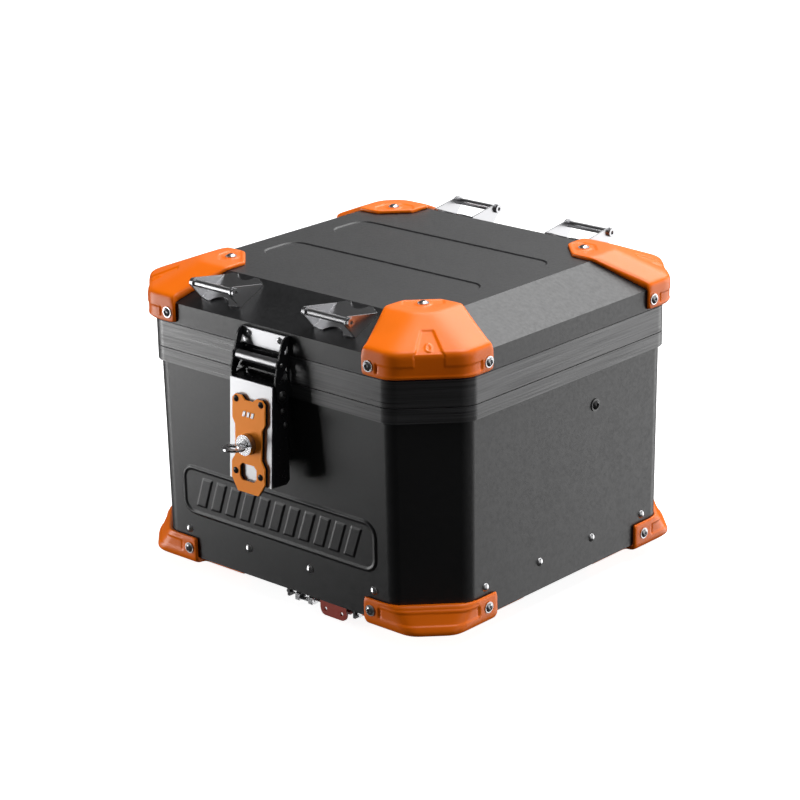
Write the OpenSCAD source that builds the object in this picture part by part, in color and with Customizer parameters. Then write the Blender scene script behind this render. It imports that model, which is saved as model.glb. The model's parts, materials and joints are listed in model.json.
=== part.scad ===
// Aluminium motorcycle top case: hinged lid, corner guards, lid latch with lock, tie-down brackets
// Millimetres. +X is the rider's right hand side as seen from the latch, -Y is the latch face, +Z is up.
// z = 0 is the face that sits on the rack
// heights in the modules count from the bottom edge of the sheet body

/* [Body] */
// half of the outer width over the rims
half_w = 215; // [180:250]
// half of the outer depth over the rims
half_d = 208.3; // [170:240]
// length of one leg of the corner chamfer
corner = 56; // [40:70]
// bend radius of the rims' corners, outside
bend = 24; // [18:26]
// height of the body under the lid's rim
body_h = 226; // [180:280]
// depth of the body's rim band
rim_h = 15.2; // [10:25]
// how far the sheet sits inside the rim
inset = 3.8; // [3:6]
// draft of the body, top to bottom
draft = 2.7; // [0:6]
// sheet thickness
sheet = 2; // [1.5:3]

/* [Lid] */
// top of the lid's rim
lid_rim_top = 254; // [245:262]
// top of the upright skirt
skirt_top = 276.7; // [268:285]
// flat top of the lid
lid_top = 302.7; // [290:320]
// how far the top flat sits inside the outline
slope_in = 55; // [35:75]
// depth of the two ribs pressed into the lid's top
rib_h = 1.1; // [0.6:0.1:1.5]
// thickness of the corner guards
guard_t = 4; // [3:6]

/* [Hinge and mounting] */
// hinge pin radius
pin_r = 3; // [2:4]
// gap between the rack face and the sheet's bottom edge
lift = 22; // [18:40]
// hole spacing of the rack plate, left to right
rack_x = 220; // [150:260]
// hole spacing of the rack plate, front to back
rack_y = 200; // [150:240]
// radius of the rack plate's holes
rack_hole_r = 3.3; // [2.7:4.3]

/* [Latch] */
// half width of the latch box
box_hw = 29; // [24:34]
// bottom of the latch box
box_z0 = 122; // [110:140]
// radius of the lock cylinder
lock_r = 10.6; // [8:12]
// height of the latch pivot
pivot_z = 216; // [212:220]
// lean of the latch box's front face, outwards at its foot
tilt = 3.2; // [0:5]
// height of the lock
lock_z = 163; // [150:175]

/* [Hidden] */
$fn = 32;
base_in = inset + draft;
hinge_y = half_d + 6.2;
hinge_z = body_h + 0.4;
pivot_y = -half_d - 13;
deck_y = -half_d - 22.7;
plate_y = deck_y - 2;
cover_y = plate_y - 3.6;
lock_y = plate_y - 10.2;
slope_h = lid_top - skirt_top;
slope_a = atan2(slope_h, slope_in);
foot_z = -7.6;
shaft_y = -188;
shaft_z = -8;
// guard outline, as distances from the two faces of a corner
guard_mask = [[-20, -20], [86, -20], [86, 2], [108, 56], [107, 80],
  [80, 107], [56, 108], [2, 86], [-20, 86]];

function sub_leg(d) = corner - d * (2 - sqrt(2));
function fillet_pts(p, a0, r, n) = [for (i = [0:n]) let (a = a0 + 45 * i / n)
  [p[0] + r * cos(a), p[1] + r * sin(a)]];
// eight-sided outline with rounded bends, d inside the rims, in turning order; the bends keep one centre
function ring(d) = let (x = half_w - d, y = half_d - d, c = sub_leg(d), r = max(bend - d, 2),
  k = r * tan(22.5))
  concat(
    fillet_pts([x - r, y - c - k], 0, r, 3), fillet_pts([x - c - k, y - r], 45, r, 3),
    fillet_pts([-x + c + k, y - r], 90, r, 3), fillet_pts([-x + r, y - c - k], 135, r, 3),
    fillet_pts([-x + r, -y + c + k], 180, r, 3), fillet_pts([-x + c + k, -y + r], 225, r, 3),
    fillet_pts([x - c - k, -y + r], 270, r, 3), fillet_pts([x - r, -y + c + k], 315, r, 3));
// same, with the bend radius fixed, so that two rings at different heights stay parallel
// less is taken off the chamfer's legs
function ring_r(d, r, less = 0) = let (x = half_w - d, y = half_d - d, c = sub_leg(d) - less,
  k = r * tan(22.5))
  concat(
    fillet_pts([x - r, y - c - k], 0, r, 3), fillet_pts([x - c - k, y - r], 45, r, 3),
    fillet_pts([-x + c + k, y - r], 90, r, 3), fillet_pts([-x + r, y - c - k], 135, r, 3),
    fillet_pts([-x + r, -y + c + k], 180, r, 3), fillet_pts([-x + c + k, -y + r], 225, r, 3),
    fillet_pts([x - c - k, -y + r], 270, r, 3), fillet_pts([x - r, -y + c + k], 315, r, 3));

module up() translate([0, 0, lift]) children();
module slab(d, z0, z1) translate([0, 0, z0]) linear_extrude(z1 - z0) polygon(ring(d));
module band(d0, d1, z0, z1) translate([0, 0, z0]) linear_extrude(z1 - z0)
  difference() { polygon(ring(d0)); polygon(ring(d1)); }
// stack of outlines: levels = [[d, z, less], ...], one bend radius all the way up
module stack(levels, r) {
  n = 32;
  m = len(levels);
  pts = [for (l = levels) for (p = ring_r(l[0], r, l[2] == undef ? 0 : l[2])) [p[0], p[1], l[1]]];
  polyhedron(points = pts, faces = concat(
    [[for (i = [n - 1:-1:0]) (m - 1) * n + i]], [[for (i = [0:n - 1]) i]],
    [for (j = [0:m - 2]) for (i = [0:n - 1])
      [j * n + (i + 1) % n, j * n + i, (j + 1) * n + i, (j + 1) * n + (i + 1) % n]]), convexity = 4);
}
module four(x, y) for (sx = [-1, 1], sy = [-1, 1]) translate([sx * x, sy * y, 0]) children();
// repeats a child built on the latch face onto all four faces
module rod_x(r, x0, x1, y, z) translate([x0, y, z]) rotate([0, 90, 0]) cylinder(r = r, h = x1 - x0);
module rod_y(r, y0, y1, x, z) translate([x, y0, z]) rotate([-90, 0, 0]) cylinder(r = r, h = y1 - y0);
function wall_y(z) = half_d - inset - draft * (1 - z / body_h);
function wall_x(z) = half_w - inset - draft * (1 - z / body_h);

rivet_x = [-130, -43, 43, 130];
rivet_y = [-126, -42, 42, 126];
rivet_z = 30;
module rivet_bores(r) {
  for (x = rivet_x) rod_y(r, -half_d - 5, half_d + 5, x, rivet_z);
  for (y = rivet_y) rod_x(r, -half_w - 5, half_w + 5, y, rivet_z);
}
side_y = 44.6;
side_z = 174;
base_screw_x = 128;
base_screw_y = 126;
base_screw_z = 10;

module body_shell() color([0.09, 0.09, 0.1]) up() difference() {
  stack([[base_in, 0], [inset, body_h - 3]], bend - 4);
  stack([[base_in + sheet, -1], [base_in + sheet, 0],
    [inset + sheet, body_h - 3], [inset + sheet, body_h]], bend - 6);
  rivet_bores(2.5);
  for (s = [-1, 1]) rod_x(3.1, s > 0 ? 180 : -230, s > 0 ? 230 : -180, side_y, side_z);
  for (x = [-base_screw_x, base_screw_x]) rod_y(3.1, -half_d - 9, half_d + 9, x, base_screw_z);
  for (y = [-base_screw_y, base_screw_y]) rod_x(3.1, -half_w - 9, half_w + 9, y, base_screw_z);
  for (x = [-16, 16], z = [156, 190]) rod_y(2.05, -230, -180, x, z);
  for (x = hinge_rivet_x) rod_y(2.05, 180, half_d + 5, x, body_h - 10);
}

module floor_pan() color([0.2, 0.2, 0.21]) up() difference() {
  stack([[base_in + sheet, 0.2], [base_in + sheet - draft * 42 / body_h, 42]], bend - 6);
  stack([[base_in + 2 * sheet, 0.2 + sheet], [base_in + 2 * sheet - draft * 40 / body_h, 43]],
    bend - 8);
  rivet_bores(2.5);
  for (x = [-base_screw_x, base_screw_x]) rod_y(3.1, -half_d - 9, half_d + 9, x, base_screw_z);
  for (y = [-base_screw_y, base_screw_y]) rod_x(3.1, -half_w - 9, half_w + 9, y, base_screw_z);
  four(130, 120) translate([0, 0, -1]) cylinder(r = 3.2, h = 5);
  for (x = [4.5, 95.5]) translate([x, shaft_y + 9, -1]) cylinder(r = 2.1, h = 5);
}

module body_rim() color([0.12, 0.12, 0.13]) up() difference() {
  union() {
    band(0, 3, body_h - rim_h, body_h);
    band(2.9, 15, body_h - 3, body_h);
    band(6.2, 8.2, body_h - 11, body_h - 2.9);
  }
  band(8, 12, body_h - 1, body_h + 1);
  for (x = hinge_rivet_x) rod_y(2.05, half_d - 9, half_d + 5, x, body_h - 10);
}

module rim_gasket() color([0.04, 0.04, 0.04]) up() band(8.1, 11.9, body_h - 1, body_h + 2.2);

module dome(r, h) intersection() {
  translate([0, 0, h - (r * r + h * h) / (2 * h)]) sphere(r = (r * r + h * h) / (2 * h));
  cylinder(r = r + 1, h = h + 1);
}
// rivet along +Z: head on z = 0, grip goes down
module rivet(r, head_r, head_h, grip) {
  dome(head_r, head_h);
  translate([0, 0, -grip]) cylinder(r = r, h = grip + 0.2);
  translate([0, 0, -grip - 1.6]) cylinder(r = head_r - 0.6, h = 1.6);
}
module body_rivets() color([0.75, 0.75, 0.77]) up() {
  for (x = rivet_x, s = [-1, 1])
    translate([x, s * (wall_y(rivet_z) + 0.06), rivet_z]) rotate([-90 * s, 0, 0])
      rivet(2.4, 4.4, 2.5, 2 * sheet + 0.2);
  for (y = rivet_y, s = [-1, 1])
    translate([s * (wall_x(rivet_z) + 0.06), y, rivet_z]) rotate([0, 90 * s, 0])
      rivet(2.4, 4.4, 2.5, 2 * sheet + 0.2);
}
// button head screw along +Z with washer: washer's seat on z = 0
module button(r, head_r, head_h, washer_r, washer_h, depth, nut_r, nut_h) {
  difference() {
    union() {
      translate([0, 0, washer_h]) dome(head_r, head_h);
      cylinder(r = washer_r, h = washer_h);
    }
    translate([0, 0, washer_h + head_h - 2.2]) cylinder(r = head_r * 0.56, h = 3, $fn = 6);
  }
  translate([0, 0, -depth]) cylinder(r = r, h = depth + 0.2);
  if (nut_h > 0) translate([0, 0, -depth]) cylinder(r = nut_r, h = nut_h, $fn = 6);
}
module side_screws() color([0.12, 0.12, 0.12]) up() for (s = [-1, 1])
  translate([s * (wall_x(side_z) + 0.12), side_y, side_z]) rotate([0, 90 * s, 0])
    button(3, 5, 2.6, 6.6, 1, 8, 5.4, 5.6);

// one corner guard for the body; sx, sy pick the corner
module base_guard(sx, sy) difference() {
  union() {
    intersection() {
      stack([[base_in + 2.5, foot_z, 16], [base_in - 2.2, foot_z + 2, 22],
        [base_in - 4.2, foot_z + 6, 20], [base_in - 4.2, 20, 3], [base_in - 3.2, 22, 1.5]],
        bend - 2);
      union() {
        translate([sx * (half_w - base_in), sy * (half_d - base_in), 0])
          linear_extrude(60, center = true)
          polygon([for (p = [[-30, -30], [90, -30], [90, 8], [8, 90], [-30, 90]])
            [-sx * p[0], -sy * p[1]]]);
      }
    }
    intersection() {
      translate([0, 0, foot_z]) linear_extrude(3.2) polygon(ring(base_in + 8));
      translate([sx * (half_w - base_in), sy * (half_d - base_in), -12]) linear_extrude(8)
        polygon([for (p = [[-30, -30], [148, -30], [148, 12], [12, 148], [-30, 148]])
          [-sx * p[0], -sy * p[1]]]);
    }
  }
  stack([[base_in - 0.3, -0.3], [base_in - 0.3 - draft * 40 / body_h, 40]], bend - 4);
  translate([0, 0, foot_z + 3.2]) linear_extrude(8) intersection() {
    polygon(ring(base_in + 22));
    translate([sx * (half_w - base_in), sy * (half_d - base_in)]) square(260, center = true);
  }
  rod_y(3.2, -230, 230, sx * base_screw_x, base_screw_z);
  rod_x(3.2, -230, 230, sy * base_screw_y, base_screw_z);
  four(130, 120) translate([0, 0, -10]) cylinder(r = 11.6, h = 12);
  // room for the release shaft under the latch face
  if (sx > 0 && sy < 0) translate([40, -half_d, -12]) cube([62, 36, 11.9]);
}
module base_guard_fr() color([0.95, 0.35, 0.02]) up() base_guard(1, -1);
module base_guard_fl() color([0.95, 0.35, 0.02]) up() base_guard(-1, -1);
module base_guard_rr() color([0.95, 0.35, 0.02]) up() base_guard(1, 1);
module base_guard_rl() color([0.95, 0.35, 0.02]) up() base_guard(-1, 1);

module base_guard_screws() color([0.8, 0.8, 0.8]) up() {
  for (sx = [-1, 1], sy = [-1, 1]) {
    translate([sx * base_screw_x, sy * (half_d - base_in + 4.26), base_screw_z]) rotate([-90 * sy, 0, 0])
      button(2.9, 4.7, 2.4, 5.8, 0.8, 12, 5, 3.4);
    translate([sx * (half_w - base_in + 4.26), sy * base_screw_y, base_screw_z]) rotate([0, 90 * sx, 0])
      button(2.9, 4.7, 2.4, 5.8, 0.8, 12, 5, 3.4);
  }
}

// plate that docks on the rack, with its four rack holes
module rack_plate() color([0.16, 0.16, 0.17]) difference() {
  linear_extrude(5) polygon([[-150, -122], [-132, -140], [132, -140], [150, -122], [150, 122], [132, 140],
    [-132, 140], [-150, 122]]);
  for (x = [-62, 62]) translate([x, 0, -1]) linear_extrude(7) polygon([[-36, -78], [-30, -84],
    [30, -84], [36, -78], [36, 78], [30, 84], [-30, 84], [-36, 78]]);
  four(rack_x / 2, rack_y / 2) translate([0, 0, -1]) cylinder(r = rack_hole_r, h = 7);
  four(130, 120) translate([0, 0, -1]) cylinder(r = 3.2, h = 7);
  four(130, 120) translate([0, 0, -1]) cylinder(r = 6.4, h = 4.2);
}
module rack_spacers() color([0.05, 0.05, 0.05]) four(130, 120) translate([0, 0, 5]) difference() {
  cylinder(r = 11, h = lift - 4.8);
  translate([0, 0, -1]) cylinder(r = 3.2, h = lift);
}
module rack_screws() color([0.7, 0.7, 0.7]) four(130, 120) {
  difference() {
    translate([0, 0, 0.4]) cylinder(r = 5.6, h = 2.8);
    translate([0, 0, 0.3]) cylinder(r = 2.6, h = 1.8, $fn = 6);
  }
  translate([0, 0, 3]) cylinder(r = 3.1, h = lift + 4);
  translate([0, 0, lift + 0.2 + sheet]) cylinder(r = 5, h = 4, $fn = 6);
}

// catch for the lock's cam, on the latch face
module keeper() color([0.7, 0.7, 0.72]) up() difference() {
  union() {
    translate([-22, -wall_y(lock_z) - 3, 149]) cube([44, 2.5, 48]);
    for (s = [-1, 1]) translate([s * 18 - 5, 0, 0]) {
      translate([0, -221.2, 169.5]) cube([10, 16, 3]);
      translate([0, -221.2, 157]) cube([10, 2, 13]);
    }
  }
  for (x = [-16, 16], z = [156, 190]) rod_y(2.05, -230, -180, x, z);
}
module keeper_rivets() color([0.6, 0.6, 0.62]) up() for (x = [-16, 16], z = [156, 190])
  translate([x, -wall_y(lock_z) - 3, z]) rotate([90, 0, 0]) rivet(2, 3.4, 1.4, 5.2);

knuckle = 27;
hinge_half = 5.5 * knuckle;
hinge_rivet_x = [for (i = [-5:2:5]) i * knuckle];
module knuckles(first) for (x = [first:2 * knuckle:hinge_half - 9])
  rod_x(5, x + 0.3, x + knuckle - 0.3, hinge_y, hinge_z);
module hinge_body_leaf() color([0.3, 0.3, 0.31]) up() difference() {
  union() {
    knuckles(-hinge_half);
    for (x = [-hinge_half:2 * knuckle:hinge_half - 9])
      translate([x + 0.3, half_d + 0.1, hinge_z - 9]) cube([knuckle - 0.6, 2, 9]);
    translate([-hinge_half, half_d + 0.1, body_h - 15]) cube([2 * hinge_half, 2, 8]);
  }
  rod_x(pin_r + 0.05, -170, 170, hinge_y, hinge_z);
  for (x = hinge_rivet_x) rod_y(2.05, half_d - 9, half_d + 5, x, body_h - 10);
}
module hinge_lid_leaf() color([0.3, 0.3, 0.31]) up() difference() {
  union() {
    knuckles(-hinge_half + knuckle);
    for (x = [-hinge_half + knuckle:2 * knuckle:hinge_half - 9]) translate([x + 0.3, half_d + 0.1, hinge_z])
      cube([knuckle - 0.6, 2, 9]);
    translate([-hinge_half, half_d + 0.1, hinge_z + 7]) cube([2 * hinge_half, 2, 16]);
  }
  rod_x(pin_r + 0.05, -170, 170, hinge_y, hinge_z);
  for (x = hinge_rivet_x) rod_y(2.05, half_d - 9, half_d + 5, x, hinge_z + 15);
}
module hinge_pin() color([0.7, 0.7, 0.7]) up() {
  rod_x(pin_r, -hinge_half - 1.5, hinge_half + 1.5, hinge_y, hinge_z);
  for (s = [-1, 1]) translate([s * (hinge_half + 1.2), hinge_y, hinge_z]) rotate([0, 90, 0])
    cylinder(r = 4.2, h = 2, center = true);
}
module hinge_body_rivets() color([0.5, 0.5, 0.5]) up() for (x = hinge_rivet_x)
  translate([x, half_d + 2.1, body_h - 10]) rotate([-90, 0, 0]) rivet(2, 3, 1.2, 10.4);
module hinge_lid_rivets() color([0.5, 0.5, 0.5]) up() for (x = hinge_rivet_x)
  translate([x, half_d + 2.1, hinge_z + 15]) rotate([-90, 0, 0]) rivet(2, 3, 1.2, 6.6);

module shaft_brackets() color([0.35, 0.35, 0.36]) up() difference() {
  union() for (x = [1, 92]) {
    translate([x, shaft_y - 5, -13]) cube([3, 10, 13.1]);
    translate([x > 50 ? x : x - 0, shaft_y - 5, -1.9]) cube([7, 20, 2]);
  }
  rod_x(2.55, -10, 110, shaft_y, shaft_z);
  for (x = [4.5, 95.5]) translate([x, shaft_y + 9, -3]) cylinder(r = 2.1, h = 5);
}

module bracket_rivets() color([0.7, 0.7, 0.7]) up() for (x = [4.5, 95.5])
  translate([x, shaft_y + 9, -1.94]) rotate([180, 0, 0]) {
    dome(3.4, 1.4);
    translate([0, 0, -4.14]) cylinder(r = 2, h = 4.3);
    translate([0, 0, -5.3]) cylinder(r = 3, h = 1.1);
  }

module lid_rim() color([0.12, 0.12, 0.13]) up() difference() {
  union() {
    band(0, 3, body_h + 0.8, lid_rim_top);
    band(2.9, 14, body_h + 3, body_h + 5);
    band(2.4, 4.4, body_h + 4.9, lid_rim_top + 6);
  }
  for (x = hinge_rivet_x) rod_y(2.05, half_d - 9, half_d + 5, x, hinge_z + 15);
}
lid_screw_x = 138;
lid_screw_y = 130;
lid_screw_z = 266.5;
top_screw_x = 132;
top_screw_y = 125;
hasp_screw_x = 21;
hasp_screw_z = 268;
rib_y = [-58, 47];
// pressed rib: a rounded bar across the lid
module rib(y, z, h, r1, r2) translate([0, y, z]) hull() for (sx = [-1, 1], sy = [-1, 1])
  translate([sx * 116, sy * 10]) cylinder(r1 = r1, r2 = r2, h = h);
module lid_skin() color([0.1, 0.1, 0.11]) up() difference() {
  stack([[0, lid_rim_top + 0.6], [0, skirt_top], [slope_in, lid_top]], bend - 4);
  difference() {
    stack([[2.4, 200], [2.4, skirt_top - 1.2], [slope_in + 1.4, lid_top - 2.4]], bend - 6);
    for (y = rib_y) rib(y, lid_top - 2.4 - rib_h, rib_h + 1, 17.6, 17.6);
  }
  for (y = rib_y) rib(y, lid_top - rib_h, rib_h + 0.2, 16, 18.2);
  for (x = [-lid_screw_x, lid_screw_x]) rod_y(2.7, -half_d - 9, half_d + 9, x, lid_screw_z);
  for (y = [-lid_screw_y, lid_screw_y]) rod_x(2.7, -half_w - 9, half_w + 9, y, lid_screw_z);
  four(top_screw_x, top_screw_y) translate([0, 0, lid_top - 10]) cylinder(r = 2.7, h = 20);
  for (x = [-hasp_screw_x, hasp_screw_x]) rod_y(2.1, -half_d - 9, -half_d + 9, x, hasp_screw_z);
  for (sx = [-1, 1], sy = [-1, 1]) tiedown_place(sx, sy) for (x = [-16, 16])
    translate([x, 28, -8]) cylinder(r = 2.1, h = 14);
}
// lid guard: a parallel shell over skirt, slopes and top
module lid_guard(sx, sy) difference() {
  intersection() {
    stack([[-guard_t, lid_rim_top + 2.4, 6], [-guard_t, skirt_top + 5.4, 6],
      [-guard_t + 2.5, skirt_top + 8.2, 6], [slope_in - 3, lid_top + guard_t - 0.4, 9],
      [slope_in - 0.5, lid_top + guard_t, 9]], bend - 2);
    translate([sx * half_w, sy * half_d, 200]) linear_extrude(200)
      polygon([for (p = guard_mask) [-sx * p[0], -sy * p[1]]]);
  }
  stack([[-0.1, lid_rim_top - 20], [-0.1, skirt_top + 0.1], [slope_in, lid_top + 0.1]], bend - 3.9);
  rod_y(2.8, -half_d - 9, half_d + 9, sx * lid_screw_x, lid_screw_z);
  rod_x(2.8, -half_w - 9, half_w + 9, sy * lid_screw_y, lid_screw_z);
  translate([sx * top_screw_x, sy * top_screw_y, lid_top - 10]) cylinder(r = 2.8, h = 20);
}
module lid_guard_fr() color([0.95, 0.35, 0.02]) up() lid_guard(1, -1);
module lid_guard_fl() color([0.95, 0.35, 0.02]) up() lid_guard(-1, -1);
module lid_guard_rr() color([0.95, 0.35, 0.02]) up() lid_guard(1, 1);
module lid_guard_rl() color([0.95, 0.35, 0.02]) up() lid_guard(-1, 1);
module lid_guard_screws() color([0.8, 0.8, 0.8]) up() for (sx = [-1, 1], sy = [-1, 1]) {
  translate([sx * lid_screw_x, sy * (half_d + guard_t), lid_screw_z]) rotate([-90 * sy, 0, 0])
    button(2.5, 4.7, 2.4, 5.8, 0.8, 12, 4.4, 4.8);
  translate([sx * (half_w + guard_t), sy * lid_screw_y, lid_screw_z]) rotate([0, 90 * sx, 0])
    button(2.5, 4.7, 2.4, 5.8, 0.8, 12, 4.4, 4.8);
  translate([sx * top_screw_x, sy * top_screw_y, lid_top + guard_t])
    button(2.5, 4.7, 2.4, 5.8, 0.8, 13, 4.4, 4);
}

// puts children on the front or rear slope: local x across, y down the slope, z off the slope
module tiedown_place(sx, sy)
  translate([sx * 78, sy * (half_d - slope_in), lid_top]) rotate([0, 0, sy < 0 ? 180 : 0])
  rotate([-slope_a, 0, 0]) children();
module ear(x) translate([x, 0, 0]) rotate([90, 0, 90]) linear_extrude(2) difference() {
  hull() { translate([9, 0.1]) square([36, 2]); translate([45, 20]) circle(r = 5.4); }
  translate([45, 20]) circle(r = 3.65);
}
module tiedown(sx, sy) tiedown_place(sx, sy) difference() {
  union() {
    translate([0, 0, 0.1]) linear_extrude(2) difference() {
      hull() { translate([-28, 9]) square([56, 36]); translate([-18, 3]) square([36, 44]); }
      translate([0, -3]) circle(r = 13);
      translate([0, 54]) circle(r = 15);
    }
    ear(-28);
    ear(26);
  }
  for (x = [-16, 16]) translate([x, 28, -3]) cylinder(r = 2.1, h = 8);
}
module tiedown_fr() color([0.8, 0.8, 0.82]) up() tiedown(1, -1);
module tiedown_fl() color([0.8, 0.8, 0.82]) up() tiedown(-1, -1);
module tiedown_rr() color([0.8, 0.8, 0.82]) up() tiedown(1, 1);
module tiedown_rl() color([0.8, 0.8, 0.82]) up() tiedown(-1, 1);
module tiedown_rods() color([0.8, 0.8, 0.82]) up()
  for (sx = [-1, 1], sy = [-1, 1]) tiedown_place(sx, sy) {
  difference() {
    union() {
      rod_x(3.6, -29, 29, 45, 20);
      for (s = [-1, 1]) rod_x(4.6, s > 0 ? 28.1 : -31.1, s > 0 ? 31.1 : -28.1, 45, 20);
    }
    for (s = [-1, 1]) translate([s > 0 ? 29.4 : -33, 45, 20]) rotate([0, 90, 0])
      cylinder(r = 2.2, h = 3.6, $fn = 6);
  }
}
module tiedown_screws() color([0.7, 0.7, 0.7]) up() for (sx = [-1, 1], sy = [-1, 1]) tiedown_place(sx, sy)
  for (x = [-16, 16]) translate([x, 28, 2.1]) {
    dome(4, 2);
    translate([0, 0, -8]) cylinder(r = 2, h = 8.2);
    translate([0, 0, -8]) cylinder(r = 3.6, h = 3, $fn = 6);
  }

// lid side of the latch: cheeks carry the latch box
module cheek(x) translate([x, 0, 0]) rotate([90, 0, 90]) linear_extrude(2) difference() {
  union() {
    polygon([[-half_d - 0.1, 274], [-half_d - 0.1, 255.6], [-half_d - 1.4, 250], [-half_d - 1.4, 214],
      [-half_d - 6, 207.5], [-half_d - 15.5, 207.5], [-half_d - 19.4, 211.5], [-half_d - 21.6, 231],
      [-half_d - 21, 236.5], [-half_d - 11, 267.5], [-half_d - 7.4, 272.4], [-half_d - 4, 274]]);
    translate([-half_d - 12.4, 247]) circle(r = 6.4);
  }
  polygon([[-half_d - 3.4, 266], [-half_d - 3.4, 257], [-half_d - 8.4, 257]]);
  polygon([[-half_d - 5.5, 244.5], [-half_d - 5, 230.5], [-half_d - 15.6, 228.5], [-half_d - 14.8, 231.5]]);
  translate([-half_d - 12.4, 247]) circle(r = 2.2);
  translate([pivot_y, pivot_z]) circle(r = 3.05);
}
module hasp_bracket() color([0.05, 0.05, 0.05]) up() difference() {
  union() {
    cheek(-31.4);
    cheek(29.4);
    translate([-31.4, -half_d - 2.1, 255.6]) cube([62.8, 2, 18.4]);
  }
  for (x = [-hasp_screw_x, hasp_screw_x]) rod_y(2.1, -half_d - 9, -half_d + 9, x, hasp_screw_z);
}
module hasp_plate() color([0.8, 0.8, 0.82]) up() difference() {
  translate([-29.2, -half_d - 3.7, 256.2]) cube([58.4, 1.5, 17.4]);
  for (x = [-hasp_screw_x, hasp_screw_x]) rod_y(2.1, -half_d - 9, -half_d + 9, x, hasp_screw_z);
}
module hasp_guide() color([0.08, 0.08, 0.08]) up() translate([-29.3, 0, 0]) rotate([90, 0, 90])
  linear_extrude(58.6) polygon([[-half_d - 1.6, 253], [-half_d - 3.4, 253], [-half_d - 3.4, 241],
    [-half_d - 10.5, 235.6], [-half_d - 10.5, 233.4], [-half_d - 1.6, 239.6]]);
module hasp_roller() color([0.85, 0.85, 0.86]) up() {
  rod_x(5, -29, 29, -half_d - 12.4, 247);
  for (s = [-1, 1]) rod_x(2.1, s > 0 ? 28 : -32, s > 0 ? 32 : -28, -half_d - 12.4, 247);
}
module hasp_screws() color([0.75, 0.75, 0.75]) up() for (x = [-hasp_screw_x, hasp_screw_x])
  translate([x, -half_d - 3.8, hasp_screw_z]) rotate([90, 0, 0]) {
    difference() { dome(3.6, 2); translate([0, 0, 0.8]) cylinder(r = 1.5, h = 3, $fn = 6); }
    translate([0, 0, -10]) cylinder(r = 2, h = 10.2);
    translate([0, 0, -10]) cylinder(r = 3.6, h = 3, $fn = 6);
  }

// latch box: channel open to the body and downwards, leaning about its pivots
module hung() translate([0, pivot_y, pivot_z]) rotate([-tilt, 0, 0])
  translate([0, -pivot_y, -pivot_z]) children();
box_back = -half_d - 1.4;
module box_wall(x) translate([x, 0, 0]) rotate([90, 0, 90]) linear_extrude(2) union() {
  polygon([[box_back + 2.5, box_z0 + 4], [box_back - 1.5, box_z0], [deck_y - 0.1, box_z0],
    [deck_y - 0.1, 226.2], [-half_d - 11.2, 228.8], [-half_d - 7, 225.4], [-half_d - 2.6, 219],
    [box_back, 213]]);
}
module latch_box() color([0.04, 0.04, 0.04]) up() hung() difference() {
  union() {
    box_wall(-box_hw);
    box_wall(box_hw - 2);
    translate([-box_hw, deck_y - 0.1, box_z0]) cube([2 * box_hw, 2.1, 102]);
    rotate([90, 0, 90]) translate([0, 0, -box_hw]) linear_extrude(2 * box_hw)
      polygon([[deck_y - 0.1, 223.9], [deck_y - 0.1, 226.2],
        [-half_d - 11.2, 228.8], [-half_d - 11.2, 227.2]]);
  }
  rod_x(3.15, -40, 40, pivot_y, pivot_z);
  rod_y(lock_r + 0.2, -260, -200, 0, lock_z);
  for (x = [-cover_screw_x, cover_screw_x], z = cover_screw_z) rod_y(1.65, -260, -200, x, z);
  for (p = [[-218, 199], [-214, 184]]) rod_x(2.1, -40, 40, p[0], p[1]);
}
module latch_plate() color([0.8, 0.8, 0.82]) up() hung() difference() {
  translate([-box_hw, plate_y, box_z0]) cube([2 * box_hw, 1.8, 104.2]);
  rod_y(lock_r + 0.2, -260, -200, 0, lock_z);
  for (x = [-cover_screw_x, cover_screw_x], z = cover_screw_z) rod_y(1.65, -260, -200, x, z);
}
cover_screw_x = 17;
cover_screw_z = [132, 206.5];
cover_half = [[0, 207], [5.5, 207], [10.5, 211.2], [18.2, 211.2], [22.3, 207.2], [22.3, 186], [18.4, 180],
  [17.8, 149], [22.6, 141.5], [22.6, 124.5], [14.2, 111.8], [0, 111.8]];
module cover_shape() difference() {
  polygon(concat(cover_half,
    [for (i = [len(cover_half) - 2:-1:1]) [-cover_half[i][0], cover_half[i][1]]]));
  polygon([[-11.6, 128], [-8, 124], [8, 124], [11.6, 128],
    [11.6, 138], [8, 141.6], [-8, 141.6], [-11.6, 138]]);
}
module cover_bores() {
  rod_y(lock_r + 0.2, -260, -200, 0, lock_z);
  for (x = [-cover_screw_x, cover_screw_x], z = cover_screw_z) rod_y(1.65, -260, -200, x, z);
}
module latch_backing() color([0.05, 0.03, 0.03]) up() hung() difference() {
  translate([0, plate_y - 0.1, 0]) rotate([90, 0, 0]) linear_extrude(1.8) cover_shape();
  cover_bores();
}
module latch_cover() color([0.95, 0.35, 0.02]) up() hung() difference() {
  translate([0, plate_y - 1.9, 0]) rotate([90, 0, 0]) linear_extrude(1.7) cover_shape();
  cover_bores();
}
module latch_cover_screws() color([0.08, 0.08, 0.08]) up() hung()
  for (x = [-cover_screw_x, cover_screw_x], z = cover_screw_z)
  translate([x, cover_y - 0.1, z]) rotate([90, 0, 0]) {
    difference() { dome(3.4, 1.8); translate([0, 0, 0.7]) cylinder(r = 1.4, h = 3, $fn = 6); }
    translate([0, 0, -9]) cylinder(r = 1.6, h = 9.2);
  }
module latch_pivots() color([0.1, 0.1, 0.1]) up()
  for (s = [-1, 1]) translate([s * 31.5, pivot_y, pivot_z])
  rotate([0, 90 * s, 0]) {
    difference() { dome(5, 2.4); translate([0, 0, 0.9]) cylinder(r = 2.2, h = 3, $fn = 6); }
    translate([0, 0, -7.5]) cylinder(r = 3, h = 7.7);
    translate([0, 0, -7.5]) cylinder(r = 5, h = 2.6, $fn = 6);
  }
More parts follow.
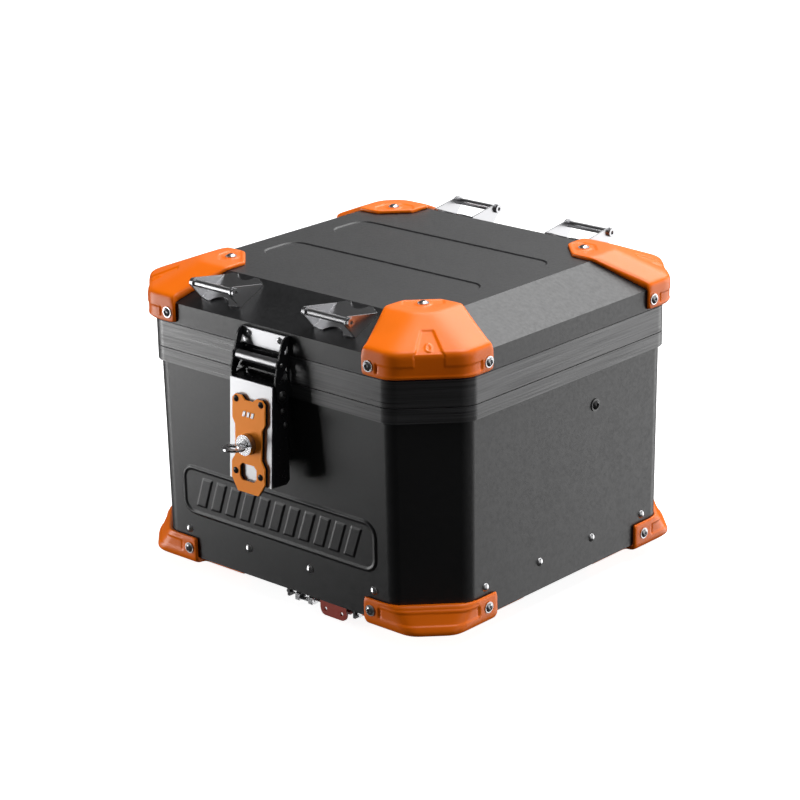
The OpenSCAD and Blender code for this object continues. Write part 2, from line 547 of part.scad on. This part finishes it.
module latch_side_screws() color([0.1, 0.1, 0.1]) up() hung()
  for (s = [-1, 1], p = [[-218, 199], [-214, 184]])
  translate([s * (box_hw + 0.05), p[0], p[1]]) rotate([0, 90 * s, 0]) {
    difference() { dome(3.4, 1.6); translate([0, 0, 0.5]) cylinder(r = 1.6, h = 3, $fn = 6); }
    translate([0, 0, -3.4]) cylinder(r = 2, h = 3.6);
  }
module lock_barrel() color([0.85, 0.85, 0.86]) up() hung() difference() {
  rod_y(lock_r, lock_y, -216, 0, lock_z);
  rod_y(6.05, lock_y - 1, -215, 0, lock_z);
}
module lock_plug() color([0.8, 0.8, 0.8]) up() hung() difference() {
  union() { rod_y(6, lock_y - 0.5, -215.8, 0, lock_z); rod_y(3, -216, -212.6, 0, lock_z); }
  translate([-4.1, lock_y - 2, lock_z - 1.3]) cube([8.2, 22, 2.6]);
}
module lock_cam() color([0.7, 0.7, 0.7]) up() hung() difference() {
  union() {
    translate([0, -213, lock_z]) rotate([90, 0, 0]) cylinder(r = 5.6, h = 2.4);
    translate([-4, -215.4, lock_z - 17]) cube([8, 2.4, 17]);
  }
  rod_y(3.02, -218, -210, 0, lock_z);
}
module key() color([0.75, 0.75, 0.76]) up() hung() {
  translate([-3.8, lock_y - 4, lock_z - 1]) cube([7.6, 22, 2]);
  translate([0, lock_y - 13.4, lock_z - 1]) linear_extrude(2) difference() {
    union() { circle(r = 11.4); translate([-6, 0]) square([12, 12]); }
    scale([1.25, 0.8]) circle(r = 5.4);
  }
}

module release_shaft() color([0.7, 0.7, 0.7]) up() {
  rod_x(2.5, 0.2, 97, shaft_y, shaft_z);
  for (x = [-1.6, 97]) rod_x(3.8, x, x + 2, shaft_y, shaft_z);
}
module release_tab() color([0.7, 0.12, 0.03]) up() difference() {
  union() {
    rod_x(4.6, 49, 85, shaft_y, shaft_z);
    translate([49, shaft_y - 7, shaft_z]) cube([36, 2.6, 4.6]);
    translate([49, shaft_y - 4.6, shaft_z + 2]) cube([36, 4.6, 2.6]);
    translate([0, shaft_y - 4.4, shaft_z + 4.6]) rotate([90, 0, 0]) linear_extrude(2.6) difference() {
      hull() {
        translate([49, -8]) square([36, 8]);
        translate([56, -9]) circle(r = 6.6);
        translate([78, -9]) circle(r = 6.6);
      }
      for (x = [56, 78]) translate([x, -8.4]) circle(r = 2.2);
    }
  }
  rod_x(2.52, 40, 95, shaft_y, shaft_z);
}
module release_hook() color([0.5, 0.5, 0.52]) up() difference() {
  union() {
    rod_x(4.4, 15, 39, shaft_y, shaft_z);
    translate([15, shaft_y - 8, shaft_z - 4.4]) cube([24, 8, 2.6]);
    translate([15, shaft_y - 8, shaft_z - 4.4]) cube([24, 2.6, 7.4]);
  }
  rod_x(2.52, 10, 45, shaft_y, shaft_z);
  translate([21, shaft_y - 9, shaft_z - 5]) cube([12, 4.6, 12]);
}

body_shell();
floor_pan();
body_rim();
rim_gasket();
body_rivets();
side_screws();
base_guard_fr();
base_guard_fl();
base_guard_rr();
base_guard_rl();
base_guard_screws();
rack_plate();
rack_spacers();
rack_screws();
keeper();
keeper_rivets();
hinge_body_leaf();
hinge_pin();
hinge_body_rivets();
shaft_brackets();
bracket_rivets();
lid_rim();
lid_skin();
lid_guard_fr();
lid_guard_fl();
lid_guard_rr();
lid_guard_rl();
lid_guard_screws();
hinge_lid_leaf();
hinge_lid_rivets();
tiedown_fr();
tiedown_fl();
tiedown_rr();
tiedown_rl();
tiedown_rods();
tiedown_screws();
hasp_bracket();
hasp_plate();
hasp_guide();
hasp_roller();
hasp_screws();
latch_box();
latch_plate();
latch_backing();
latch_cover();
latch_cover_screws();
latch_pivots();
latch_side_screws();
lock_barrel();
lock_plug();
lock_cam();
key();
release_shaft();
release_tab();
release_hook();
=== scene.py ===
"""Looks of the motorcycle top case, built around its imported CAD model. Lengths are in metres."""

import json
import math

import bmesh
import bpy
import numpy as np
from mathutils import Matrix, Vector
from mathutils.bvhtree import BVHTree


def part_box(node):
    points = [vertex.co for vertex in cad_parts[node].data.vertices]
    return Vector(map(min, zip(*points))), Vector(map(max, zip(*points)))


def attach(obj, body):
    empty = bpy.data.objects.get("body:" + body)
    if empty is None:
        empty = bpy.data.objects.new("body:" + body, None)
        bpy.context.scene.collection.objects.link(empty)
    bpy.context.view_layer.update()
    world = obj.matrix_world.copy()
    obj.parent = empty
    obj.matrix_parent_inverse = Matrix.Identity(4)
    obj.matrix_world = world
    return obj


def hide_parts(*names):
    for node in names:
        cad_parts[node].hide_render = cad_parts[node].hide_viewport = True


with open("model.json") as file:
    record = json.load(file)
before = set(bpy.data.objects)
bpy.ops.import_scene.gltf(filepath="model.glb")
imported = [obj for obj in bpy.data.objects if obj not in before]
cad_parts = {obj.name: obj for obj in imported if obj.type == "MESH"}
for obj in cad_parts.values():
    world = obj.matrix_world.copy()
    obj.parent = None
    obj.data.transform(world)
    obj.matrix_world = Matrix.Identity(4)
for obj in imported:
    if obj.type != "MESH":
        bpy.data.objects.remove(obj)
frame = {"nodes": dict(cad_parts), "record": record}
NODES = frame["nodes"]
SLOT_OF = {s["node"]: s["material_slot"] for s in frame["record"]["subparts"]}
MATS = {}
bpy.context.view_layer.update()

# the gap between the rack face and the sheet's bottom edge; heights below count from that edge
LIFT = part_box("body_shell")[0].z
RIM_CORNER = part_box("body_rim")[1]
HALF_W, HALF_D = RIM_CORNER.x, RIM_CORNER.y


# ---------------------------------------------------------------- materials
def shader(m):
    return m.node_tree.nodes["Principled BSDF"]


def material(name, color, rough, metal=0.0, spec=0.5):
    m = bpy.data.materials.new(name)
    m.use_nodes = True
    b = shader(m)
    b.inputs["Base Color"].default_value = (*color, 1)
    b.inputs["Roughness"].default_value = rough
    b.inputs["Metallic"].default_value = metal
    b.inputs["Specular IOR Level"].default_value = spec
    MATS[name] = m
    return m


def node(m, kind, **values):
    n = m.node_tree.nodes.new(kind)
    for k, v in values.items():
        n.inputs[k].default_value = v
    return n


def link(m, a, b):
    m.node_tree.links.new(a, b)


def noise(m, scale, detail, stretch):
    """Noise in the object's own space, stretched along its axes."""
    place = node(m, "ShaderNodeMapping", Scale=stretch)
    link(m, node(m, "ShaderNodeTexCoord").outputs["Object"], place.inputs["Vector"])
    n = node(m, "ShaderNodeTexNoise", Scale=scale, Detail=detail)
    link(m, place.outputs["Vector"], n.inputs["Vector"])
    return n.outputs["Fac"]


def grain(m, scale, detail, low, high, stretch=(1, 1, 1)):
    """Roughness that wanders between two values."""
    limits = {"From Min": 0.3, "From Max": 0.7, "To Min": low, "To Max": high}
    spread = node(m, "ShaderNodeMapRange", **limits)
    link(m, noise(m, scale, detail, stretch), spread.inputs["Value"])
    link(m, spread.outputs["Result"], shader(m).inputs["Roughness"])


def tint(m, scale, a, b, stretch=(1, 1, 1)):
    """Slow change between two colours."""
    blend = node(m, "ShaderNodeValToRGB")
    for stop, position, color in zip(blend.color_ramp.elements, (0.35, 0.65), (a, b)):
        stop.position = position
        stop.color = (*color, 1)
    link(m, noise(m, scale, 3, stretch), blend.inputs["Fac"])
    link(m, blend.outputs["Color"], shader(m).inputs["Base Color"])


def bump(m, scale, strength, distance, stretch=(1, 1, 1), detail=2):
    n = node(m, "ShaderNodeBump", Strength=strength, Distance=distance)
    link(m, noise(m, scale, detail, stretch), n.inputs["Height"])
    link(m, n.outputs["Normal"], shader(m).inputs["Normal"])


# powder coat of the walls and the lid
m = material("black_sheet", (0.01, 0.0102, 0.011), 0.4)
tint(m, 9, (0.009, 0.0092, 0.01), (0.012, 0.0122, 0.013))
grain(m, 260, 2, 0.34, 0.44)
bump(m, 1300, 0.12, 0.0003)

# floor pan
m = material("inner_sheet", (0.03, 0.03, 0.032), 0.5)
grain(m, 200, 2, 0.42, 0.55)
bump(m, 1300, 0.15, 0.0003)

# extruded rims, with fine lines along them
m = material("rim_metal", (0.022, 0.022, 0.024), 0.36, spec=0.8)
tint(m, 1, (0.014, 0.014, 0.015), (0.05, 0.05, 0.053), (6, 6, 700))
grain(m, 1, 3, 0.26, 0.5, (9, 9, 900))
bump(m, 1, 0.35, 0.0002, (7, 7, 1100), 3)

m = material("gasket_rubber", (0.012, 0.012, 0.012), 0.75, spec=0.3)
bump(m, 900, 0.3, 0.0003)

m = material("rivet_metal", (0.62, 0.62, 0.63), 0.3, metal=1)
grain(m, 700, 2, 0.24, 0.38)

m = material("black_screw", (0.015, 0.015, 0.015), 0.32, spec=0.7)
grain(m, 600, 2, 0.26, 0.4)

# moulded corner guards
m = material("orange_plastic", (1.0, 0.18, 0.0), 0.34, spec=0.34)
tint(m, 14, (0.96, 0.168, 0.0), (1.0, 0.186, 0.0))
grain(m, 500, 2, 0.31, 0.38)
bump(m, 1500, 0.12, 0.0003)

material("bright_screw", (0.55, 0.55, 0.56), 0.3, metal=1)

# rack plate
m = material("plate_metal", (0.05, 0.05, 0.052), 0.42, spec=0.6)
tint(m, 30, (0.045, 0.045, 0.047), (0.06, 0.06, 0.063))
bump(m, 1100, 0.15, 0.0003)

m = material("spacer_rubber", (0.015, 0.015, 0.015), 0.7, spec=0.3)
bump(m, 700, 0.3, 0.0003)

material("stainless", (0.44, 0.44, 0.45), 0.32, metal=1)

# gloss black latch parts
m = material("black_steel", (0.008, 0.008, 0.009), 0.22, spec=0.7)
grain(m, 300, 2, 0.16, 0.28)
bump(m, 900, 0.06, 0.0003)

# anodised latch cover
m = material("orange_plate", (1.0, 0.29, 0.02), 0.33, metal=0.15, spec=0.18)
tint(m, 20, (0.98, 0.28, 0.018), (1.0, 0.3, 0.022))
grain(m, 1, 3, 0.28, 0.4, (80, 80, 900))

material("chrome_lock", (0.5, 0.5, 0.51), 0.26, metal=1)

m = material("key_metal", (0.5, 0.5, 0.51), 0.26, metal=1)
grain(m, 1, 3, 0.2, 0.34, (400, 60, 400))

# release tab, orange coated; its base colour is darkened to a dark red, painted shade of the deep shadow it
# sits in under the case
m = material("red_plate", (0.42, 0.035, 0.012), 0.4, spec=0.6)
tint(m, 40, (0.38, 0.03, 0.01), (0.46, 0.04, 0.014))
bump(m, 900, 0.1, 0.0003)


# ---------------------------------------------------------------- edges of the CAD nodes
WELD_GAP = 0.00002
FLAT_ANGLE = 0.6  # faces within this many degrees are one flat face
BEVEL_ANGLE = 21  # more than a step of the corner bends, less than the lid's slopes
SPLIT_ANGLE = 30
BEVEL = 0.0004
WIDE_BEVEL = {"rack_plate": 0.0012, "release_tab": 0.0006, "rack_spacers": 0.001}
# slots of the small turned parts
TURNED = ("bright_screw", "rivet_metal", "black_screw", "chrome_lock", "key_metal")


def weld(obj):
    """Joins the imported mesh's split vertices, so that it can be shaded smooth."""
    w = obj.modifiers.new("weld", "WELD")
    w.merge_threshold = WELD_GAP
    for p in obj.data.polygons:
        p.use_smooth = True


def soften(obj, width):
    """Clears the flat faces and rounds the edges between them."""
    d = obj.modifiers.new("flat", "DECIMATE")
    d.decimate_type = "DISSOLVE"
    d.angle_limit = math.radians(FLAT_ANGLE)
    b = obj.modifiers.new("bevel", "BEVEL")
    b.width = width
    b.segments = 2
    b.limit_method = "ANGLE"
    b.angle_limit = math.radians(BEVEL_ANGLE)
    b.use_clamp_overlap = True
    n = obj.modifiers.new("normals", "WEIGHTED_NORMAL")
    n.weight = 100
    n.keep_sharp = False


def crisp(obj):
    """Keeps the edges sharp between smooth round faces."""
    e = obj.modifiers.new("edges", "EDGE_SPLIT")
    e.split_angle = math.radians(SPLIT_ANGLE)


for name, obj in NODES.items():
    slot = SLOT_OF[name]
    obj.data.materials.clear()
    obj.data.materials.append(MATS[slot])
    weld(obj)
    if slot in TURNED:
        crisp(obj)
    else:
        soften(obj, WIDE_BEVEL.get(name, BEVEL))


# ---------------------------------------------------------------- helpers for new meshes
def new_piece(name, me, slot, body, replaces=(), smooth=True):
    obj = bpy.data.objects.new(name, me)
    bpy.context.scene.collection.objects.link(obj)
    me.materials.clear()
    me.materials.append(MATS[slot])
    for p in me.polygons:
        p.use_smooth = smooth
    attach(obj, body)
    if replaces:
        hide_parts(*replaces)


def get_co(me):
    co = np.empty(len(me.vertices) * 3)
    me.vertices.foreach_get("co", co)
    return co.reshape(-1, 3)


def set_co(me, co):
    me.vertices.foreach_set("co", co.ravel())
    me.update()


def get_normals(me):
    n = np.empty(len(me.vertices) * 3)
    me.vertices.foreach_get("normal", n)
    return n.reshape(-1, 3)


def get_edges(me):
    e = np.empty(len(me.edges) * 2, dtype=np.int64)
    me.edges.foreach_get("vertices", e)
    return e.reshape(-1, 2)


def neighbour_mean(values, edges):
    """Mean over each vertex's neighbours, and how many it has."""
    count = len(values)
    deg = np.bincount(edges.ravel(), minlength=count)
    out = np.empty_like(values)
    for k in range(values.shape[1]):
        out[:, k] = np.bincount(edges[:, 0], values[edges[:, 1], k], count)
        out[:, k] += np.bincount(edges[:, 1], values[edges[:, 0], k], count)
    return out / np.maximum(deg, 1)[:, None], deg


def relax(values, edges, rounds):
    """Moves each value half way to the mean of its neighbours, several times."""
    for _ in range(rounds):
        mean, deg = neighbour_mean(values, edges)
        values = np.where(deg[:, None] > 0, values + 0.5 * (mean - values), values)
    return values


def ramp(x, a, b):
    """0 at a, 1 at b, with a smooth S between them."""
    t = np.clip((x - a) / (b - a), 0, 1)
    return t * t * (3 - 2 * t)


def window(x, lo, hi, soft):
    """1 between lo and hi, 0 outside, with soft sides."""
    return ramp(x, lo - soft / 2, lo + soft / 2) * (1 - ramp(x, hi - soft / 2, hi + soft / 2))


# ---------------------------------------------------------------- moulded guards
VOXEL = 0.001


def remeshed(src):
    """The CAD node's mesh, made of even small quads."""
    tmp = bpy.data.objects.new("tmp", src.data.copy())
    bpy.context.scene.collection.objects.link(tmp)
    m = tmp.modifiers.new("remesh", "REMESH")
    m.mode = "VOXEL"
    m.voxel_size = VOXEL
    deps = bpy.context.evaluated_depsgraph_get()
    me = bpy.data.meshes.new_from_object(tmp.evaluated_get(deps), depsgraph=deps)
    bpy.data.objects.remove(tmp)
    return me


def gap_to(points, names):
    """Each point's distance to the nearest of these CAD nodes."""
    best = np.full(len(points), np.inf)
    for name in names:
        me = NODES[name].data
        tree = BVHTree.FromPolygons([v.co for v in me.vertices], [p.vertices for p in me.polygons])
        for i, p in enumerate(points):
            best[i] = min(best[i], tree.find_nearest(p)[3])
    return best


def rounded(co, edges, outer, rounds):
    """Smooths the outer faces; a free edge keeps its line, because its vertices only average along it."""
    sheet = edges[outer[edges[:, 0]] & outer[edges[:, 1]]]
    crossing = edges[outer[edges[:, 0]] != outer[edges[:, 1]]]
    rim = np.zeros(len(co), dtype=bool)
    rim[crossing.ravel()] = True
    rim &= outer
    along = sheet[rim[sheet[:, 0]] == rim[sheet[:, 1]]]
    for _ in range(rounds):
        mean, deg = neighbour_mean(co, sheet)
        mean_rim, deg_rim = neighbour_mean(co, along)
        target = np.where(rim[:, None], mean_rim, mean)
        ok = np.where(rim, deg_rim, deg) > 0
        co = np.where((ok & outer)[:, None], co + 0.5 * (target - co), co)
    return co


def carried(move, edges, free):
    """Lets the vertices between the outer and the inner faces follow both."""
    for _ in range(16):
        mean, _deg = neighbour_mean(move, edges)
        move = np.where(free[:, None], mean, move)
    return move


def mould(node_name, body, backed_by, thick, rounds, relief):
    """The CAD guard with its outer edges rounded as a moulding's, and its shallow relief."""
    me = remeshed(NODES[node_name])
    co, edges = get_co(me), get_edges(me)
    gap = gap_to(co, backed_by)
    outer, inner = gap > thick * 0.84, gap < thick * 0.2
    move = rounded(co, edges, outer, rounds) - co
    co = co + carried(move, edges, ~outer & ~inner)
    co = np.where(inner[:, None], co, relax(co, edges, 3))
    set_co(me, co)
    nor = get_normals(me)
    depth = relax((relief(co, nor) * outer)[:, None], edges, 1)
    set_co(me, co + nor * depth * outer[:, None])
    new_piece(node_name + "_moulded", me, SLOT_OF[node_name], body, (node_name,))


# heights of the recessed bands, and where they end, from the middle of the case
LID_BAND = (0.2605, 0.2698)
LID_END = (0.1486, 0.1413)
BASE_BAND = (0.0045, 0.0155)
BASE_END = (0.1402, 0.1412)
BASE_LINE = (0.0180, 0.0192)  # groove over the base guards' band
NOTCH_TOP = 0.2830
PANEL_Z = (0.2800, 0.2968)  # bottom and top of the tapered panel
PANEL_HALF = (0.0150, 0.0058)  # its half width at the bottom and at the top
BOSS_Z = 0.2872  # raised ring on the panel
SEAM = (HALF_W - HALF_D) / math.sqrt(2)  # middle of a chamfer, measured along it
TOP_SCREW = (0.132, 0.125)


def folded(co):
    """Places as they are in the positive corner, with the height over the sheet's bottom edge."""
    return np.abs(co[:, 0]), np.abs(co[:, 1]), co[:, 2] - LIFT


def between(x, y, end):
    """1 on a guard between the ends of its band, 0 past them."""
    return ramp(x, end[0] - 0.0004, end[0] + 0.0004) * ramp(y, end[1] - 0.0004, end[1] + 0.0004)


def end_slots(x, y, end, width):
    """Upright slots where a band ends, next to the screws."""
    slot_x = window(x, end[0] - width, end[0] + 0.0002, 0.0008) * (y > end[1])
    slot_y = window(y, end[1] - width, end[1] + 0.0002, 0.0008) * (x > end[0])
    return np.maximum(slot_x, slot_y)


def lid_panel(x, y, z, notch):
    """Tapered panel on the diagonal slope, with a raised ring on it."""
    t = np.abs((x - y) / math.sqrt(2) - SEAM)
    low, high = PANEL_Z
    part = np.clip((z - low) / (high - low), 0, 1)
    half = PANEL_HALF[0] + (PANEL_HALF[1] - PANEL_HALF[0]) * part
    corner = (x > 0.15) & (y > 0.14)
    panel = ramp(half - t, -0.0006, 0.0006) * window(z, low - 0.001, high, 0.0011)
    ring = np.hypot(t, (z - BOSS_Z) * 1.25)
    raised = window(ring, 0.0019, 0.0034, 0.0008) * (z > low)
    return (-0.0014 * panel * (1 - notch) + 0.0008 * raised) * corner


def screw_recess(x, y, nor):
    """Shallow five-sided recess round the top screw, with a round boss left standing under the screw."""
    dx, dy = x - TOP_SCREW[0], y - TOP_SCREW[1]
    u, v = (dx + dy) / math.sqrt(2), np.abs((x - y) / math.sqrt(2) - SEAM)
    inside = np.minimum.reduce([0.0125 - u, u + 0.0105, 0.0205 - v, 0.0225 - (v + u)])
    off_boss = ramp(np.hypot(dx, dy), 0.0074, 0.0086)
    return -0.0009 * ramp(inside, -0.0005, 0.0006) * off_boss * (nor[:, 2] > 0.8)


def lid_relief(co, nor):
    x, y, z = folded(co)
    t = np.abs((x - y) / math.sqrt(2) - SEAM)
    band = window(z, *LID_BAND, 0.0009)
    upright = ramp(np.abs(nor[:, 2]), 0.75, 0.6)
    notch = window(z, LID_BAND[1] - 0.001, NOTCH_TOP, 0.001) * window(t, -0.1, 0.0145, 0.001) * upright
    d = -0.0007 * np.maximum(band, notch) * between(x, y, LID_END)
    slots = end_slots(x, y, LID_END, 0.0016)
    d += -0.0017 * slots * window(z, LID_BAND[0] + 0.0005, LID_BAND[1] + 0.0005, 0.0008)
    return d + lid_panel(x, y, z, notch) + screw_recess(x, y, nor)


def base_relief(co, nor):
    x, y, z = folded(co)
    on_band = between(x, y, BASE_END)
    d = -0.0009 * window(z, *BASE_BAND, 0.0009) * on_band
    slots = end_slots(x, y, BASE_END, 0.0017)
    d += -0.0016 * slots * window(z, BASE_BAND[0] + 0.0005, BASE_BAND[1] - 0.0003, 0.0008)
    return d - 0.0005 * window(z, *BASE_LINE, 0.0009) * on_band


for corner_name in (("fr", "fl", "rr", "rl")):
    mould("lid_guard_" + corner_name, "lid", ("lid_skin", "lid_rim"), 0.004, 34, lid_relief)
    mould("base_guard_" + corner_name, "case", ("body_shell",), 0.0039, 22, base_relief)


# ---------------------------------------------------------------- pressed panel on the latch face
WALL_INSET, WALL_TAPER, WALL_TOP = 0.0038, 0.0027, 0.226
FIELD_Z = 0.0755  # middle of the panel
FIELD_HALF = (0.137, 0.0285)
FIELD_STEP = 0.0008
FIELD_BEND = 0.016
PRESSED = 0.0013  # height of the bead and the bars
BAR_COUNT, BAR_PITCH = 11, 0.0208
BAR_HALF = (0.0072, 0.0165)
BAR_LEAN = 0.35


def wall_front(z):
    """Outer face of the tapered front wall, at a height above the sheet's bottom edge."""
    return -(HALF_D - WALL_INSET - WALL_TAPER * (1 - z / WALL_TOP))


def rounded_box(x, z, half_x, half_z, r):
    """Distance to the edge of a rounded rectangle round the origin, less than 0 inside it."""
    qx, qz = np.abs(x) - half_x + r, np.abs(z) - half_z + r
    return np.hypot(np.maximum(qx, 0), np.maximum(qz, 0)) + np.minimum(np.maximum(qx, qz), 0) - r


def pressing(x, z):
    """Height of the bead round the edge and of the row of slanted bars, z from the panel's middle."""
    edge = rounded_box(x, z, FIELD_HALF[0] - 0.001, FIELD_HALF[1] - 0.001, FIELD_BEND)
    high = PRESSED * ramp(-edge, 0.0002, 0.0020) * (1 - 0.75 * ramp(-edge, 0.0034, 0.0052))
    for k in range(BAR_COUNT):
        middle = BAR_PITCH * (k - (BAR_COUNT - 1) / 2)
        d = np.maximum(np.abs(x - BAR_LEAN * z - middle) - BAR_HALF[0], np.abs(z) - BAR_HALF[1])
        high = np.maximum(high, PRESSED * ramp(-d, -0.0004, 0.0014))
    # outside the bead the sheet goes just under the wall's face
    return np.where(edge > 0.0002, -0.0003, high + 0.0001)


def front_emboss():
    nx, nz = (int(2 * half / FIELD_STEP) + 1 for half in FIELD_HALF)
    along = np.linspace(-FIELD_HALF[0], FIELD_HALF[0], nx)
    gx, gz = np.meshgrid(along, np.linspace(FIELD_Z - FIELD_HALF[1], FIELD_Z + FIELD_HALF[1], nz))
    y = wall_front(gz) - pressing(gx, gz - FIELD_Z)
    verts = np.stack([gx, y, gz + LIFT], -1).reshape(-1, 3)
    starts = [r * nx + c for r in range(nz - 1) for c in range(nx - 1)]
    faces = [(i, i + 1, i + nx + 1, i + nx) for i in starts]
    me = bpy.data.meshes.new("front_emboss")
    me.from_pydata(verts.tolist(), [], faces)
    # a closed back, inside the wall
    bm = bmesh.new()
    bm.from_mesh(me)
    made = bmesh.ops.extrude_edge_only(bm, edges=[e for e in bm.edges if e.is_boundary])
    for v in made["geom"]:
        if isinstance(v, bmesh.types.BMVert):
            v.co.y += 0.0006
    bmesh.ops.holes_fill(bm, edges=[e for e in bm.edges if e.is_boundary], sides=0)
    bmesh.ops.recalc_face_normals(bm, faces=bm.faces)
    bm.to_mesh(me)
    bm.free()
    new_piece("front_emboss", me, "black_sheet", "case")


front_emboss()

# ---------------------------------------------------------------- mark on the latch's cover
TILT = 3.2  # how far the latch leans about its pivot, in degrees
PIVOT = Vector((0, -HALF_D - 0.013, 0.216 + LIFT))
MARK = Vector((0, -HALF_D - 0.0283, 0.193 + LIFT))  # middle of the mark, before the lean
MARK_PITCH = 0.0058
MARK_HALF = (0.0018, 0.0028)
MARK_LEAN = 0.3
# outlines of a bar, from the cover outwards: distance off the cover, and how much smaller
MARK_LEVELS = ((-0.0004, 0.0), (0.0003, 0.0), (0.0005, 0.0003))


def mark_bar(bm, middle):
    rings = []
    for out, less in MARK_LEVELS:
        x, z = MARK_HALF[0] - less, MARK_HALF[1] - less
        corners = ((-x, -z), (x, -z), (x, z), (-x, z))
        rings.append([bm.verts.new((middle + a + MARK_LEAN * b, -out, b)) for a, b in corners])
    for lower, upper in zip(rings, rings[1:]):
        for i in range(4):
            j = (i + 1) % 4
            bm.faces.new((lower[i], lower[j], upper[j], upper[i]))
    bm.faces.new(rings[-1])
    bm.faces.new(rings[0][::-1])


def cover_mark():
    """Three short slanted bars, plain, on the face of the latch's cover."""
    bm = bmesh.new()
    for k in (-1, 0, 1):
        mark_bar(bm, MARK_PITCH * k)
    lean = Matrix.Rotation(math.radians(-TILT), 4, "X")
    place = Matrix.Translation(PIVOT) @ lean @ Matrix.Translation(MARK - PIVOT)
    bmesh.ops.transform(bm, matrix=place, verts=bm.verts)
    bmesh.ops.recalc_face_normals(bm, faces=bm.faces)
    me = bpy.data.meshes.new("cover_mark")
    bm.to_mesh(me)
    bm.free()
    new_piece("cover_mark", me, "stainless", "latch", smooth=False)


cover_mark()

# ---------------------------------------------------------------- camera
VIEW_FROM = Vector((1.7687, -1.9595, 1.0600 + LIFT))
VIEW_FORWARD = Vector((-0.6360, 0.6988, -0.3274))
VIEW_UP = Vector((-0.2061, 0.2550, 0.9447))


def look_camera():
    cam = bpy.data.objects.new("camera", bpy.data.cameras.new("camera"))
    bpy.context.scene.collection.objects.link(cam)
    forward = VIEW_FORWARD.normalized()
    up = (VIEW_UP - forward * VIEW_UP.dot(forward)).normalized()
    turn = Matrix((forward.cross(up), up, -forward)).transposed().to_4x4()
    cam.matrix_world = Matrix.Translation(VIEW_FROM) @ turn
    cam.data.lens = 119.7
    cam.data.sensor_width = 36
    cam.data.clip_end = 60
    bpy.context.scene.camera = cam


# ---------------------------------------------------------------- light and floor
SKY_BASE = 0.03
# patches of light on the sky: direction, degrees of full strength, degrees where it ends, strength
SKY = (
    ((-0.15, 0.70, 0.70), 10, 32, 4.4),  # above and behind, seen in the right slope of the lid
    ((0.42, 0.90, -0.10), 10, 34, 3.0),  # at the right and behind, seen in the right side
    ((0.25, -0.10, 0.95), 8, 42, 0.25),  # ceiling
    ((0.97, 0.10, 0.25), 8, 36, 0.9),  # right wall
    ((-0.62, 0.72, 0.33), 5, 30, 0.22),  # behind, seen in the flat top
)
# lamps: place, width and height, watts
LAMPS = {
    "softbox": ((-1.92, -1.34, 0.14), (0.9, 1.6), 36),  # at the left, throws the latch's shadow
    "overhead": ((0.65, 0.25, 2.3), (1.2, 1.2), 34),
}
LAMPS_AIM = Vector((0, 0, 0.2))


def blob(nt, direction, inner, outer, strength):
    """A soft patch of light on the sky, round one direction: full inside inner degrees, none past outer."""
    tc = nt.nodes.new("ShaderNodeTexCoord")
    dot = nt.nodes.new("ShaderNodeVectorMath")
    dot.operation = "DOT_PRODUCT"
    dot.inputs[1].default_value = Vector(direction).normalized()
    nt.links.new(tc.outputs["Generated"], dot.inputs[0])
    r = nt.nodes.new("ShaderNodeMapRange")
    r.interpolation_type = "SMOOTHERSTEP"
    r.inputs["From Min"].default_value = math.cos(math.radians(outer))
    r.inputs["From Max"].default_value = math.cos(math.radians(inner))
    r.inputs["To Max"].default_value = strength
    nt.links.new(dot.outputs["Value"], r.inputs["Value"])
    return r.outputs["Result"]


def added(nt, total, patch):
    add = nt.nodes.new("ShaderNodeMath")
    add.operation = "ADD"
    nt.links.new(total, add.inputs[0])
    nt.links.new(patch, add.inputs[1])
    return add.outputs["Value"]


def sky():
    """Patches of light for the reflections, and plain white for the camera."""
    world = bpy.data.worlds.new("studio")
    bpy.context.scene.world = world
    world.use_nodes = True
    nt = world.node_tree
    base = nt.nodes.new("ShaderNodeValue")
    base.outputs[0].default_value = SKY_BASE
    total = base.outputs[0]
    for patch in SKY:
        total = added(nt, total, blob(nt, *patch))
    lit = nt.nodes["Background"]
    lit.inputs["Color"].default_value = (1, 1, 1, 1)
    nt.links.new(total, lit.inputs["Strength"])
    white = nt.nodes.new("ShaderNodeBackground")
    white.inputs["Color"].default_value = (1, 1, 1, 1)
    mix = nt.nodes.new("ShaderNodeMixShader")
    path = nt.nodes.new("ShaderNodeLightPath")
    nt.links.new(path.outputs["Is Camera Ray"], mix.inputs["Fac"])
    nt.links.new(lit.outputs["Background"], mix.inputs[1])
    nt.links.new(white.outputs["Background"], mix.inputs[2])
    nt.links.new(mix.outputs["Shader"], nt.nodes["World Output"].inputs["Surface"])


def floor():
    """A white floor that only the camera sees."""
    bpy.ops.mesh.primitive_plane_add(size=14, location=(0, 0, 0))
    plane = bpy.context.object
    plane.name = "floor"
    paper = material("floor", (0.8, 0.8, 0.8), 0.9, spec=0.0)
    shader(paper).inputs["Emission Color"].default_value = (1, 1, 1, 1)
    shader(paper).inputs["Emission Strength"].default_value = 0.9
    plane.data.materials.append(paper)
    plane.visible_glossy = False
    plane.visible_shadow = False
    plane.visible_diffuse = False


def lamps():
    for name, (place, size, watts) in LAMPS.items():
        lamp = bpy.data.objects.new(name, bpy.data.lights.new(name, "AREA"))
        bpy.context.scene.collection.objects.link(lamp)
        lamp.data.shape = "RECTANGLE"
        lamp.data.size, lamp.data.size_y = size
        lamp.data.energy = watts
        lamp.location = place
        lamp.rotation_euler = (LAMPS_AIM - lamp.location).to_track_quat("-Z", "Y").to_euler()


look_camera()
sky()
floor()
lamps()
bpy.context.scene.view_settings.view_transform = "Standard"
